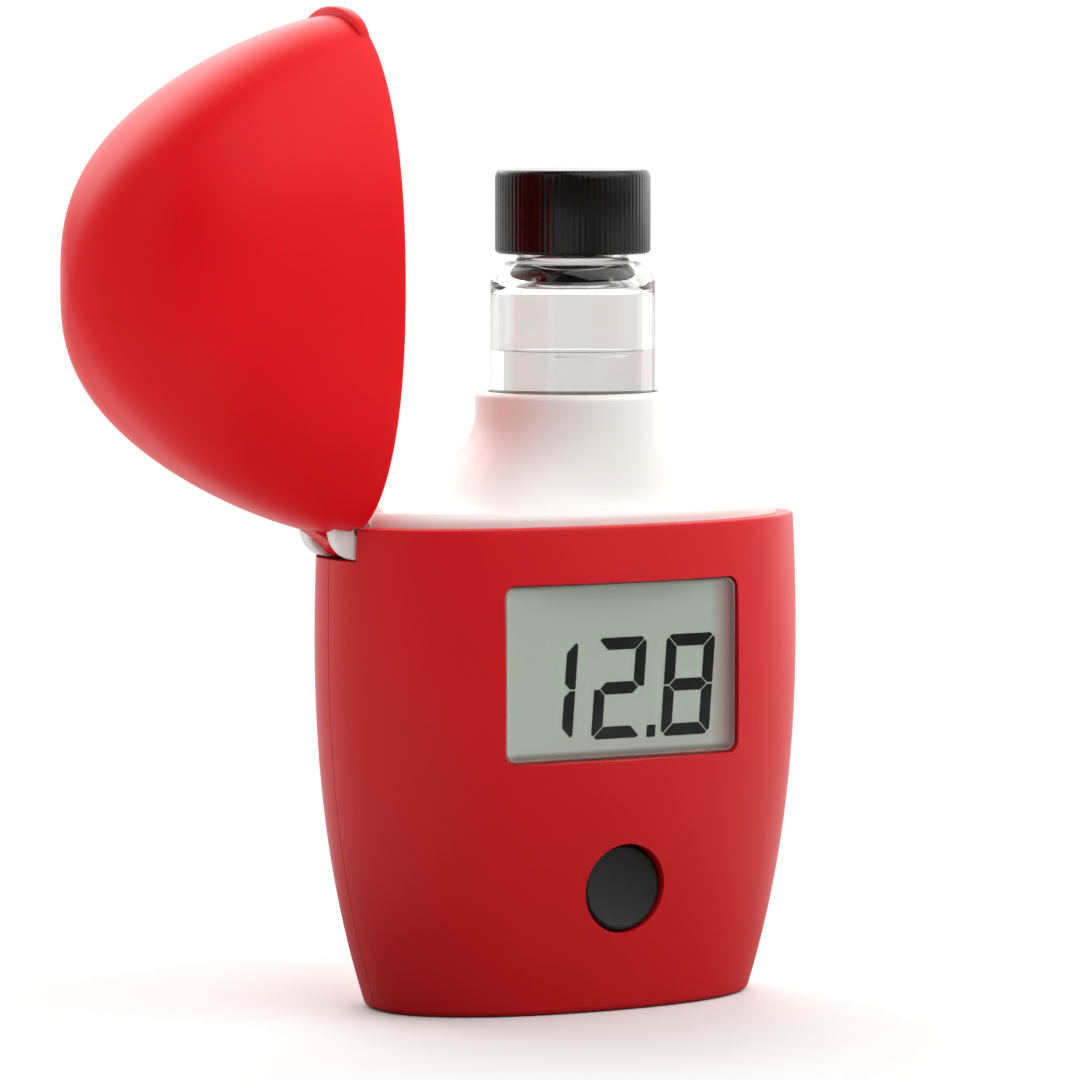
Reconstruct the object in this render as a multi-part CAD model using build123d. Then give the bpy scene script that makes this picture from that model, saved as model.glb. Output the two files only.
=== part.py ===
from build123d import *
from math import cos, sin, pi, radians
import os

os.makedirs("parts", exist_ok=True)

# Pocket photometer with its lid open. X runs from the hinge to the thumb tab, the display
# faces -Y, and the origin is the centre of the base. Sizes are in millimetres.

# Case: a lens-shaped plan that swells between the base and the rim
case_height = 56.4
base_half_width = 24.1
rim_half_width = 30.0
width_swell = 2.6
width_swell_skew = 0.22
base_half_depth = 13.5
rim_half_depth = 16.2
depth_swell = 2.1
lens_exponent = 2.235
case_wall = 2.2
base_edge_radius = 0.7
parting_gap = 0.1
station_count = 5
outline_steps = 16
overcut = 1.0
edge_band = 0.01

# Display window
window_width = 31.0
window_height = 20.6
window_bottom = 29.4
window_corner_radius = 2.0
window_thickness = 1.3
window_edge_radius = 1.0
window_clearance = 0.15
window_flange_width = 0.6
window_flange_thickness = 0.4

# Display stack, from the well forwards
board_thickness = 0.8
board_width = 33.0
board_top = 52.4
board_shoulder_height = 22.0
board_tail_width = 15.0
board_bottom = 9.0
board_to_well_gap = 0.2
panel_thickness = 1.7
panel_margin = 0.5
frame_wall = 0.7
stack_gap = 0.1

# Packages on the board: across, height, width, tall, thick, and 1 for the back or -1 for the front
chip_places = (
    (-12.6, 45.0, 6.0, 6.0, 1.0, 1),
    (-12.6, 37.6, 4.0, 3.2, 1.1, 1),
    (-14.2, 24.4, 2.0, 1.2, 0.6, 1),
    (-11.2, 24.4, 2.0, 1.2, 0.6, 1),
    (15.0, 45.0, 1.6, 3.2, 0.8, 1),
    (15.0, 38.0, 1.6, 3.2, 0.8, 1),
    (-9.0, 25.0, 3.0, 3.0, 1.0, -1),
    (9.0, 25.0, 3.4, 1.8, 0.9, -1),
)

# Button
button_radius = 4.95
button_height = 14.5
button_hole_clearance = 0.28
button_recess = 0.75
button_dish_depth = 0.55
button_edge_radius = 0.45
button_flange_width = 1.1
button_flange_thickness = 0.55
button_travel = 0.5
button_pocket_clearance = 0.35
switch_radius = 3.0
switch_rim = 0.5
switch_rise = 0.3

# Cuvette: raised in its well, as it stands for display
cuvette_radius = 9.6
cuvette_offset = 2.0
cuvette_wall = 1.0
cuvette_base_thickness = 1.8
cuvette_bottom = 31.5
cuvette_shoulder_top = 86.3
cuvette_shoulder_radius = 2.4
cuvette_base_radius = 0.9
neck_radius = 6.45
neck_bore_radius = 4.9
neck_root_depth = 1.0
inner_shoulder_bend = 0.3
inner_shoulder_depth = 1.9
seat_travel = 15.5
sample_top = 76.1
sample_clearance = 0.05

# Screw cap and its sealing disc
cap_radius = 9.1
cap_height = 9.8
cap_bottom = 87.1
cap_bevel = 0.5
cap_ribs = 84
cap_rib_depth = 0.14
cap_neck_clearance = 0.3
cap_top_thickness = 1.4
liner_thickness = 0.8
liner_gap = 0.05

# Well
well_clearance = 0.3
well_wall = 1.1
well_floor_thickness = 1.4
well_top = 61.6
well_socket_clearance = 0.1
beam_height = 30.0
port_boss_radius = 3.0
port_boss_length = 3.2
lamp_radius = 1.5
lamp_body_length = 3.4
lamp_flange_radius = 1.9
lamp_flange_thickness = 0.8
detector_size = 4.0
detector_thickness = 1.4
lead_thickness = 0.5
lead_length = 1.6
lead_spacing = 2.54
port_clearance = 0.08

# Shoulder: a flare from the round collar to the lens-shaped foot
collar_top = 71.1
collar_radius = 11.35
collar_edge_radius = 0.8
flare_top = 68.6
foot_top = 58.2
foot_inset = 2.0
foot_edge_radius = 1.2
foot_clearance = 0.15
skirt_depth = 3.0
shoulder_wall = 1.7
socket_wall = 1.0
flare_power = 1.8
flare_step = 0.05
flare_angles = (84, 76, 66, 54, 40, 20, 0)
foot_rounding_angles = (0, 30, 55, 75)

# Hinge
pivot_x = -28.2
pivot_z = 56.2
lug_radius = 3.4
lug_thickness = 1.9
ear_radius = 3.3
ear_width = 4.1
hinge_side_gap = 0.3
hinge_barrel_gap = 0.35
pin_radius = 0.9
pin_clearance = 0.05
notch_clearance = 0.4
lug_root_depth = 5.6

# Lid
lid_depth = 35.6
lid_rim_half_width = 29.55
lid_rim_half_depth = 16.0
lid_rim_gap = 0.2
lid_wall = 1.25
lid_latch_powers = (1.35, 2.55)
lid_hinge_powers = (1.25, 2.3)
lid_depth_powers = (2.42, 1.4)
lid_section_angles = (0, 14, 28, 41, 53, 63, 71, 78)
lid_open_angle = 90
relief_height = 1.2
relief_margin = 0.35
ear_web_thickness = 3.2
ear_web_height = 6.5
tab_half_width = 6.3
tab_thickness = 1.4
tab_reach = 2.3

# Battery compartment: one AAA cell across the case under the well
cell_radius = 5.25
cell_length = 44.5
cell_nub_radius = 1.9
cell_nub_length = 0.8
cell_height = 8.9
cell_setback = 1.7
cell_clearance = 0.15
cell_edge_radius = 0.4
contact_span = 46.0
contact_thickness = 0.3
contact_width = 7.0
contact_height = 8.0
contact_gap = 0.05
spring_wire_radius = 0.25
spring_turns = 1.5
spring_outer_radius = 3.2
spring_inner_radius = 1.8
spring_steps = 18
cradle_thickness = 1.5
cradle_spread = 24.0

# Battery door, with its screw tab above the cell
door_half_width = 23.1
door_bottom = 2.6
door_height = 12.6
door_skin = 1.6
door_clearance = 0.15
door_tab_half_width = 4.5
door_tab_height = 5.2
door_corner_radius = 1.5
door_ledge = 1.0
door_screw_radius = 1.0
door_screw_length = 4.0
screw_head_radius = 1.9
screw_head_height = 1.0
screw_hole_clearance = 0.15
screw_boss_radius = 2.7
drive_slot_width = 0.6
drive_slot_length = 2.2
drive_slot_depth = 0.6

# Case screws, from the back
case_screw_spread = 41.0
case_screw_heights = (21.0, 46.0)
case_screw_radius = 1.0
case_screw_length = 16.0
case_screw_depth = 1.4
screw_point_gap = 0.5
thread_clearance = 0.05


def half_width(z, inset=0.0):
    u = z / case_height
    swell = 4 * u * (1 - u) * (1 + width_swell_skew * (1 - 2 * u))
    return base_half_width + (rim_half_width - base_half_width) * u + width_swell * swell - inset


def half_depth(z, inset=0.0):
    u = z / case_height
    return base_half_depth + (rim_half_depth - base_half_depth) * u + depth_swell * 4 * u * (1 - u) - inset


def lens_edge(latch_side, hinge_side, b, exponent, side, centre_x=0.0):
    points = []
    for step in range(outline_steps + 1):
        angle = pi * step / outline_steps
        reach = latch_side if step <= outline_steps / 2 else -hinge_side
        x = reach * abs(cos(angle)) ** (2 / exponent)
        y = side * b * abs(sin(angle)) ** (2 / exponent)
        points.append((centre_x + x, y))
    return Spline(*points)


def lens_face(z, a, b, exponent=lens_exponent, centre_x=0.0, hinge_side=None):
    left = a if hinge_side is None else hinge_side
    front = lens_edge(a, left, b, exponent, -1, centre_x)
    rear = lens_edge(a, left, b, exponent, 1, centre_x)
    return Pos(0, 0, z) * make_face([front, rear])


def stations(bottom, top):
    return [bottom + (top - bottom) * step / (station_count - 1) for step in range(station_count)]


def case_block(bottom, top, inset=0.0):
    return loft([lens_face(z, half_width(z, inset), half_depth(z, inset)) for z in stations(bottom, top)])


def case_half(side):
    faces = []
    for z in stations(0, case_height):
        a = half_width(z)
        rim = lens_edge(a, a, half_depth(z), lens_exponent, side)
        faces.append(Pos(0, 0, z) * make_face([rim, Line((a, 0), (-a, 0))]))
    half = loft(faces)
    base_edges = half.edges().filter_by_position(Axis.Z, -edge_band, edge_band).sort_by(Axis.Y)
    return fillet(base_edges[0] if side < 0 else base_edges[-1], base_edge_radius)


def cylinder_y(radius, x, z, y_start, y_end):
    middle = (y_start + y_end) / 2
    return Pos(x, middle, z) * Rot(90, 0, 0) * Cylinder(radius, abs(y_end - y_start))


def cylinder_x(radius, x_start, x_end, y, z):
    middle = (x_start + x_end) / 2
    return Pos(middle, y, z) * Rot(0, 90, 0) * Cylinder(radius, abs(x_end - x_start))


def cylinder_z(radius, x, z_start, z_end):
    return Pos(x, 0, (z_start + z_end) / 2) * Cylinder(radius, abs(z_end - z_start))


def span_box(x_low, x_high, y_low, y_high, z_low, z_high):
    centre = Pos((x_low + x_high) / 2, (y_low + y_high) / 2, (z_low + z_high) / 2)
    return centre * Box(x_high - x_low, y_high - y_low, z_high - z_low)


def plate_y(width, height, radius, z_middle, y_start, y_end, x_middle=0.0):
    outline = RectangleRounded(width, height, radius)
    slab = extrude(outline, abs(y_end - y_start))
    return Pos(x_middle, max(y_start, y_end), z_middle) * Rot(90, 0, 0) * slab


# Derived places
well_radius = cuvette_radius + well_clearance
well_outer_radius = well_radius + well_wall
board_back = -(well_outer_radius + board_to_well_gap)
board_front = board_back - board_thickness
panel_back = board_front - stack_gap
panel_front = panel_back - panel_thickness
window_back = panel_front - stack_gap
window_front = window_back - window_thickness
window_middle = window_bottom + window_height / 2
panel_width = window_width + 2 * panel_margin
panel_height = window_height + 2 * panel_margin
frame_width = panel_width + 2 * stack_gap + 2 * frame_wall
frame_height = panel_height + 2 * stack_gap + 2 * frame_wall
flange_width = window_width + 2 * window_flange_width
flange_height = window_height + 2 * window_flange_width
far = 2 * rim_half_width
above = 2 * case_height

# Case shells
front_outer = case_half(-1)
rear_outer = case_half(1)
case_cavity = case_block(case_wall, case_height, case_wall)
skirt_seat = case_height - skirt_depth - foot_clearance
case_rabbet = case_block(skirt_seat, case_height, foot_inset - foot_clearance)
boss_limit = case_block(case_wall / 2, case_height, case_wall / 2)
notch_half_width = ear_width / 2 + hinge_side_gap + lug_thickness + notch_clearance
notch_floor = pivot_z - lug_radius - notch_clearance
hinge_notch = span_box(
    -far, pivot_x + lug_root_depth, -notch_half_width, notch_half_width, notch_floor, case_height + overcut
)
contact_back = contact_span / 2 + contact_thickness
cell_hollow = cylinder_x(
    cell_radius + cell_clearance, -contact_span / 2, contact_span / 2, cell_setback, cell_height
)
cradles = []
for side in (-1, 1):
    x = side * cradle_spread / 2
    rib = span_box(x - cradle_thickness / 2, x + cradle_thickness / 2, -far, far, 0, cell_height)
    cradles.append(rib - cell_hollow)
contact_pockets = Part()
for side in (-1, 1):
    low, high = sorted((side * cell_length / 2, side * (contact_back + contact_gap)))
    contact_pockets += span_box(
        low,
        high,
        cell_setback - contact_width / 2 - contact_gap,
        cell_setback + contact_width / 2 + contact_gap,
        cell_height - contact_height / 2 - contact_gap,
        cell_height + contact_height / 2 + contact_gap,
    )

front_space = span_box(-far, far, -far, -parting_gap / 2, -overcut, case_height + overcut)
rear_space = span_box(-far, far, parting_gap / 2, far, -overcut, case_height + overcut)
screw_places = [(side * case_screw_spread / 2, z) for side in (-1, 1) for z in case_screw_heights]
screw_seats = {}
for x, z in screw_places:
    rise = (1 - (abs(x) / half_width(z)) ** lens_exponent) ** (1 / lens_exponent)
    screw_seats[(x, z)] = half_depth(z) * rise - case_screw_depth - screw_head_height

# Front shell
button_front = -half_depth(button_height) + button_recess
button_back = board_front - switch_rise - button_travel - stack_gap
button_flange_front = button_back - button_flange_thickness
button_flange_radius = button_radius + button_flange_width
front_inside = list(cradles)
for x, z in screw_places:
    front_inside.append(cylinder_y(screw_boss_radius, x, z, -far, -parting_gap / 2))
front_shell = (front_outer & front_space) - case_cavity - case_rabbet - hinge_notch
front_shell += ((Part() + front_inside) & boss_limit & front_space) - case_rabbet - hinge_notch
front_shell -= cell_hollow + contact_pockets
front_shell -= plate_y(window_width, window_height, window_corner_radius, window_middle, -far, 0)
front_shell -= span_box(
    -frame_width / 2 - stack_gap,
    frame_width / 2 + stack_gap,
    window_back - stack_gap / 2,
    board_back,
    window_middle - frame_height / 2 - stack_gap,
    window_middle + frame_height / 2 + stack_gap,
)
front_shell -= span_box(
    -flange_width / 2 - window_clearance,
    flange_width / 2 + window_clearance,
    window_back - window_flange_thickness - stack_gap,
    window_back,
    window_middle - flange_height / 2 - window_clearance,
    window_middle + flange_height / 2 + window_clearance,
)
front_shell -= cylinder_y(button_radius + button_hole_clearance, 0, button_height, -far, 0)
front_shell -= cylinder_y(
    button_flange_radius + button_pocket_clearance,
    0,
    button_height,
    button_flange_front - stack_gap,
    0,
)
for x, z in screw_places:
    pilot_end = screw_seats[(x, z)] - case_screw_length - screw_point_gap
    front_shell -= cylinder_y(case_screw_radius + thread_clearance, x, z, pilot_end, 0)

# Rear shell, with the battery opening and its screw boss
door_middle = door_bottom + door_height / 2
door_tab_top = door_bottom + door_height + door_tab_height
door_screw_height = door_bottom + door_height + door_tab_height / 2


def door_outline(shrink, y_low):
    main = plate_y(
        2 * (door_half_width - shrink), door_height - 2 * shrink, door_corner_radius, door_middle, y_low, far
    )
    tab_low = door_middle
    tab_high = door_tab_top - shrink
    tab = plate_y(
        2 * (door_tab_half_width - shrink),
        tab_high - tab_low,
        door_corner_radius,
        (tab_low + tab_high) / 2,
        y_low,
        far,
    )
    return main + tab


door_depth = cell_setback + cell_radius / 2
skin_limit = case_block(case_wall / 2, case_height, door_skin)
door_seat = door_outline(0, door_depth) - skin_limit
cell_mouth = span_box(
    -door_half_width,
    door_half_width,
    door_depth,
    far,
    door_bottom + door_ledge,
    door_bottom + door_height - door_ledge,
)
door_screw_seat = half_depth(door_screw_height) - screw_head_height
boss_face = half_depth(door_screw_height) - door_skin
rear_inside = list(cradles)
rear_inside.append(
    cylinder_y(screw_boss_radius, 0, door_screw_height, well_outer_radius + stack_gap, boss_face)
)
for x, z in screw_places:
    rear_inside.append(cylinder_y(screw_boss_radius, x, z, parting_gap / 2, far))
rear_shell = (rear_outer & rear_space) - case_cavity - case_rabbet - hinge_notch
rear_shell += ((Part() + rear_inside) & boss_limit & rear_space) - case_rabbet - hinge_notch
rear_shell -= cell_hollow + contact_pockets
rear_shell -= door_seat
rear_shell -= cell_mouth
for x, z in screw_places:
    rear_shell -= cylinder_y(screw_head_radius + screw_hole_clearance, x, z, screw_seats[(x, z)], far)
    rear_shell -= cylinder_y(case_screw_radius + screw_hole_clearance, x, z, 0, far)
rear_shell -= cylinder_y(door_screw_radius + thread_clearance, 0, door_screw_height, 0, far)

# Battery door
battery_door = door_outline(door_clearance, door_depth) & rear_outer
battery_door -= case_block(case_wall / 2, case_height, door_skin - door_clearance)
battery_door -= cylinder_y(door_screw_radius + screw_hole_clearance, 0, door_screw_height, 0, far)
battery_door -= cylinder_y(
    screw_head_radius + screw_hole_clearance, 0, door_screw_height, door_screw_seat, far
)


# Screws: a cylindrical head with a cross slot, on a plain shank
def screw(radius, length, x, z, head_back):
    shank = cylinder_y(radius, x, z, head_back - length, head_back)
    head = cylinder_y(screw_head_radius, x, z, head_back, head_back + screw_head_height)
    slot_y = head_back + screw_head_height
    slots = Part()
    for angle in (0, 90):
        blade = Box(drive_slot_length, 2 * drive_slot_depth, drive_slot_width)
        slots += Pos(x, slot_y, z) * Rot(0, angle, 0) * blade
    return shank + head - slots


case_screws = []
for x, z in screw_places:
    case_screws.append(screw(case_screw_radius, case_screw_length, x, z, screw_seats[(x, z)]))
battery_door_screw = screw(
    door_screw_radius, door_screw_length, 0, door_screw_height, door_screw_seat
)

# Shoulder: skirt, rounded foot and flare in one skin, with the collar on top
foot_half_width = half_width(case_height, foot_inset)
foot_half_depth = half_depth(case_height, foot_inset)
foot_bottom = case_height - skirt_depth
foot_rounding_start = foot_top - foot_edge_radius
flare_height = flare_top - foot_top


def rounding_faces():
    faces = []
    for degrees in foot_rounding_angles:
        shrink = foot_edge_radius * (1 - cos(radians(degrees)))
        z = foot_rounding_start + foot_edge_radius * sin(radians(degrees))
        faces.append(lens_face(z, foot_half_width - shrink, foot_half_depth - shrink))
    return faces


def flare_faces(angles, inset, foot_margin):
    faces = []
    start = collar_radius - flare_step - inset
    for degrees in angles:
        spread = 1 - cos(radians(degrees)) ** (2 / flare_power)
        z = flare_top - flare_height * sin(radians(degrees)) ** (2 / flare_power) - inset
        a = start + (foot_half_width - foot_margin - start) * spread
        b = start + (foot_half_depth - foot_margin - start) * spread
        exponent = 2 + (lens_exponent - 2) * spread
        faces.append(lens_face(z, a, b, exponent, cuvette_offset * (1 - spread)))
    return faces


def skirt(top, inset):
    outline = lens_face(foot_bottom, foot_half_width - inset, foot_half_depth - inset)
    return extrude(outline, top - foot_bottom)


shoulder_form = loft(rounding_faces() + flare_faces(flare_angles, 0, foot_edge_radius))
shoulder_form = skirt(foot_rounding_start, 0) + shoulder_form
shoulder_hollow = loft(flare_faces((90,) + flare_angles, shoulder_wall, shoulder_wall))
shoulder_hollow = skirt(foot_top - shoulder_wall, shoulder_wall) + shoulder_hollow
collar = cylinder_z(collar_radius, cuvette_offset, flare_top, collar_top)
collar_edges = collar.edges().filter_by_position(Axis.Z, collar_top - edge_band, collar_top + edge_band)
collar = fillet(collar_edges, collar_edge_radius)
socket_radius = well_outer_radius + well_socket_clearance
well_socket = cylinder_z(socket_radius + socket_wall, cuvette_offset, foot_bottom, well_top)
shoulder = shoulder_form + collar - (shoulder_hollow - well_socket)
shoulder -= cylinder_z(well_radius, cuvette_offset, 0, above)
shoulder -= cylinder_z(socket_radius, cuvette_offset, 0, well_top + well_socket_clearance)

# Hinge lugs on the shoulder, with a slot between them for the lid's ear
lug_inner = ear_width / 2 + hinge_side_gap
lug_outer = lug_inner + lug_thickness
for side in (-1, 1):
    y_low, y_high = sorted((side * lug_inner, side * lug_outer))
    lug = cylinder_y(lug_radius, pivot_x, pivot_z, y_low, y_high)
    lug += span_box(
        pivot_x, pivot_x + lug_root_depth, y_low, y_high, pivot_z - lug_radius, pivot_z + shoulder_wall
    )
    shoulder += lug
ear_sweep = ear_radius + hinge_barrel_gap
shoulder -= cylinder_y(ear_sweep, pivot_x, pivot_z, -lug_inner, lug_inner)
shoulder -= span_box(-far, pivot_x + ear_sweep, -lug_inner, lug_inner, pivot_z, above)
shoulder -= span_box(-far, pivot_x, -lug_inner, lug_inner, foot_bottom, above)
shoulder -= cylinder_y(pin_radius + pin_clearance, pivot_x, pivot_z, -far, far)
hinge_pin = cylinder_y(pin_radius, pivot_x, pivot_z, -lug_outer, lug_outer)

# Lid, drawn closed and then swung open
lid_rim = case_height + lid_rim_gap


def lid_dome(inset):
    depth = lid_depth - inset
    faces = []
    for degrees in lid_section_angles:
        w = sin(radians(degrees))
        latch = (lid_rim_half_width - inset) * (1 - w ** lid_latch_powers[0]) ** (1 / lid_latch_powers[1])
        hinge = (lid_rim_half_width - inset) * (1 - w ** lid_hinge_powers[0]) ** (1 / lid_hinge_powers[1])
        b = (lid_rim_half_depth - inset) * (1 - w ** lid_depth_powers[0]) ** (1 / lid_depth_powers[1])
        faces.append(lens_face(lid_rim + depth * w, latch, b, lens_exponent, 0, hinge))
    return loft(faces + [Vertex(0, 0, lid_rim + depth)])


lid_outer = lid_dome(0)
lid = lid_outer - lid_dome(lid_wall)
lug_space = lug_radius + hinge_barrel_gap
lid -= cylinder_y(lug_space, pivot_x, pivot_z, -notch_half_width, notch_half_width)
lid -= span_box(
    -far,
    pivot_x + relief_margin,
    -lid_rim_half_depth,
    lid_rim_half_depth,
    lid_rim - overcut,
    lid_rim + relief_height,
)
ear_web = span_box(
    -far,
    pivot_x + ear_web_thickness / 2,
    -ear_width / 2,
    ear_width / 2,
    pivot_z,
    pivot_z + ear_web_height,
)
lid += (ear_web & lid_outer) + cylinder_y(ear_radius, pivot_x, pivot_z, -ear_width / 2, ear_width / 2)
lid -= cylinder_y(pin_radius + pin_clearance, pivot_x, pivot_z, -far, far)
tab_root = lid_rim_half_width * (1 - (tab_half_width / lid_rim_half_depth) ** lens_exponent) ** (
    1 / lens_exponent
)
tab_root -= lid_wall / 2
tab_outline = make_face(
    [
        ThreePointArc(
            (tab_root, -tab_half_width),
            (lid_rim_half_width + tab_reach, 0),
            (tab_root, tab_half_width),
        ),
        Line((tab_root, tab_half_width), (tab_root, -tab_half_width)),
    ]
)
tab = Pos(0, 0, lid_rim) * extrude(tab_outline, tab_thickness)
lid += tab - lid_dome(lid_wall)
swing = Pos(pivot_x, 0, pivot_z) * Rot(0, -lid_open_angle, 0) * Pos(-pivot_x, 0, -pivot_z)
lid = swing * lid

# Display window
window_body = plate_y(
    window_width - 2 * window_clearance,
    window_height - 2 * window_clearance,
    window_corner_radius - window_clearance,
    window_middle,
    window_front,
    window_back,
)
window_edges = window_body.faces().sort_by(Axis.Y)[0].edges()
window_body = fillet(window_edges, window_edge_radius)
window_flange = plate_y(
    flange_width,
    flange_height,
    window_corner_radius,
    window_middle,
    window_back - window_flange_thickness,
    window_back,
)
display_window = window_body + window_flange

# Display panel and its frame
lcd_panel = span_box(
    -panel_width / 2,
    panel_width / 2,
    panel_front,
    panel_back,
    window_middle - panel_height / 2,
    window_middle + panel_height / 2,
)
frame_outer = plate_y(frame_width, frame_height, frame_wall, window_middle, panel_front, panel_back)
frame_hollow = span_box(
    -panel_width / 2 - stack_gap,
    panel_width / 2 + stack_gap,
    -far,
    far,
    window_middle - panel_height / 2 - stack_gap,
    window_middle + panel_height / 2 + stack_gap,
)
lcd_frame = frame_outer - frame_hollow

# Circuit board with a narrow tail behind the button
board_main = span_box(
    -board_width / 2, board_width / 2, board_front, board_back, board_shoulder_height, board_top
)
board_tail = span_box(
    -board_tail_width / 2,
    board_tail_width / 2,
    board_front,
    board_back,
    board_bottom,
    board_shoulder_height,
)
circuit_board = board_main + board_tail

# Packages on the board
board_chips = []
for x, z, width, tall, thick, side in chip_places:
    near, away = (board_back, board_back + thick) if side > 0 else (board_front - thick, board_front)
    board_chips.append(span_box(x - width / 2, x + width / 2, near, away, z - tall / 2, z + tall / 2))

# Button: a dished rubber cap with a flange behind the hole
button = cylinder_y(button_radius, 0, button_height, button_front, button_back)
rim_edges = button.faces().sort_by(Axis.Y)[0].edges()
button = fillet(rim_edges, button_edge_radius)
dish_chord = button_radius - button_edge_radius
dish_radius = (dish_chord**2 + button_dish_depth**2) / (2 * button_dish_depth)
dish_centre = button_front + button_dish_depth - dish_radius
button -= Pos(0, dish_centre, button_height) * Sphere(dish_radius)
button += cylinder_y(
    button_flange_radius, 0, button_height, button_flange_front, button_back
)

# Switch: a snap dome in a square rim
switch_side = 2 * (switch_radius + switch_rim)
switch_base = span_box(
    -switch_side / 2,
    switch_side / 2,
    board_front - switch_rise / 2,
    board_front,
    button_height - switch_side / 2,
    button_height + switch_side / 2,
)
dome_radius = (switch_radius**2 + switch_rise**2) / (2 * switch_rise)
switch_dome = Pos(0, board_front - switch_rise + dome_radius, button_height) * Sphere(dome_radius)
switch_dome &= cylinder_y(switch_radius, 0, button_height, board_front - switch_rise, board_front)
button_switch = switch_base + switch_dome

# Cuvette well with a port on each side for the light
well_seat = cuvette_bottom - seat_travel - stack_gap
cuvette_well = cylinder_z(well_outer_radius, cuvette_offset, well_seat - well_floor_thickness, well_top)
port_reach = well_outer_radius + port_boss_length
cuvette_well += cylinder_x(
    port_boss_radius, cuvette_offset - port_reach, cuvette_offset + port_reach, 0, beam_height
)
cuvette_well -= cylinder_z(well_radius, cuvette_offset, well_seat, well_top + overcut)
cuvette_well -= cylinder_x(
    lamp_radius + port_clearance,
    cuvette_offset - port_reach - overcut,
    cuvette_offset + port_reach + overcut,
    0,
    beam_height,
)
detector_pocket = detector_size / 2 + port_clearance
cuvette_well -= span_box(
    cuvette_offset + port_reach - detector_thickness - port_clearance,
    far,
    -detector_pocket,
    detector_pocket,
    beam_height - detector_pocket,
    beam_height + detector_pocket,
)

# Lamp: a domed body with a flange and two leads
lamp_back = cuvette_offset - port_reach - port_clearance
lamp_tip = lamp_back + lamp_body_length
lamp_led = cylinder_x(lamp_radius, lamp_back, lamp_tip - lamp_radius, 0, beam_height)
lamp_led += Pos(lamp_tip - lamp_radius, 0, beam_height) * Sphere(lamp_radius)
lamp_led += cylinder_x(lamp_flange_radius, lamp_back - lamp_flange_thickness, lamp_back, 0, beam_height)
for side in (-1, 1):
    z = beam_height + side * lead_spacing / 2
    lamp_led += span_box(
        lamp_back - lamp_flange_thickness - lead_length,
        lamp_back - lamp_flange_thickness,
        -lead_thickness / 2,
        lead_thickness / 2,
        z - lead_thickness / 2,
        z + lead_thickness / 2,
    )

# Light detector: a square package with two leads
detector_back = cuvette_offset + port_reach
light_detector = span_box(
    detector_back - detector_thickness,
    detector_back,
    -detector_size / 2,
    detector_size / 2,
    beam_height - detector_size / 2,
    beam_height + detector_size / 2,
)
for side in (-1, 1):
    z = beam_height + side * lead_spacing / 2
    light_detector += span_box(
        detector_back,
        detector_back + lead_length / 2,
        -lead_thickness / 2,
        lead_thickness / 2,
        z - lead_thickness / 2,
        z + lead_thickness / 2,
    )

# Cap and sealing disc sizes that the cuvette's neck follows from
cap_top = cap_bottom + cap_height
liner_top = cap_top - cap_top_thickness - liner_gap
neck_top = liner_top - liner_thickness - liner_gap

# Cuvette glass: one turned profile
cuvette_inner_radius = cuvette_radius - cuvette_wall
shoulder_start = cuvette_shoulder_top - cuvette_shoulder_radius
cuvette_floor = cuvette_bottom + cuvette_base_thickness
glass_line = [
    Line((0, cuvette_bottom), (cuvette_radius - cuvette_base_radius, cuvette_bottom)),
    RadiusArc(
        (cuvette_radius - cuvette_base_radius, cuvette_bottom),
        (cuvette_radius, cuvette_bottom + cuvette_base_radius),
        -cuvette_base_radius,
    ),
    Line((cuvette_radius, cuvette_bottom + cuvette_base_radius), (cuvette_radius, shoulder_start)),
    RadiusArc(
        (cuvette_radius, shoulder_start),
        (cuvette_radius - cuvette_shoulder_radius, cuvette_shoulder_top),
        -cuvette_shoulder_radius,
    ),
    Line(
        (cuvette_radius - cuvette_shoulder_radius, cuvette_shoulder_top),
        (neck_radius, cuvette_shoulder_top),
    ),
    Line((neck_radius, cuvette_shoulder_top), (neck_radius, neck_top)),
    Line((neck_radius, neck_top), (0, neck_top)),
    Line((0, neck_top), (0, cuvette_bottom)),
]


def turned(lines, x):
    profile = Plane.XZ * make_face(lines)
    return Pos(x, 0, 0) * revolve(profile, Axis.Z, 360)


inner_shoulder_start = shoulder_start - cuvette_wall / 2
inner_shoulder_width = cuvette_inner_radius - neck_bore_radius
bend_radius = cuvette_inner_radius - inner_shoulder_bend * inner_shoulder_width
neck_root = cuvette_shoulder_top - neck_root_depth
hollow_line = [
    Line((0, cuvette_floor), (cuvette_inner_radius - cuvette_base_radius, cuvette_floor)),
    RadiusArc(
        (cuvette_inner_radius - cuvette_base_radius, cuvette_floor),
        (cuvette_inner_radius, cuvette_floor + cuvette_base_radius),
        -cuvette_base_radius,
    ),
    Line(
        (cuvette_inner_radius, cuvette_floor + cuvette_base_radius),
        (cuvette_inner_radius, inner_shoulder_start),
    ),
    Spline(
        (cuvette_inner_radius, inner_shoulder_start),
        (bend_radius, cuvette_shoulder_top - inner_shoulder_depth),
        (neck_bore_radius, neck_root),
    ),
    Line((neck_bore_radius, neck_root), (neck_bore_radius, neck_top + overcut)),
    Line((neck_bore_radius, neck_top + overcut), (0, neck_top + overcut)),
    Line((0, neck_top + overcut), (0, cuvette_floor)),
]
cuvette_glass = turned(glass_line, cuvette_offset) - turned(hollow_line, cuvette_offset)

# Sample
sample_radius = cuvette_inner_radius - sample_clearance
cuvette_sample = cylinder_z(
    sample_radius, cuvette_offset, cuvette_floor + sample_clearance, sample_top
)
sample_edges = cuvette_sample.edges().group_by(Axis.Z)[0]
cuvette_sample = fillet(sample_edges, cuvette_base_radius)

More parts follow.
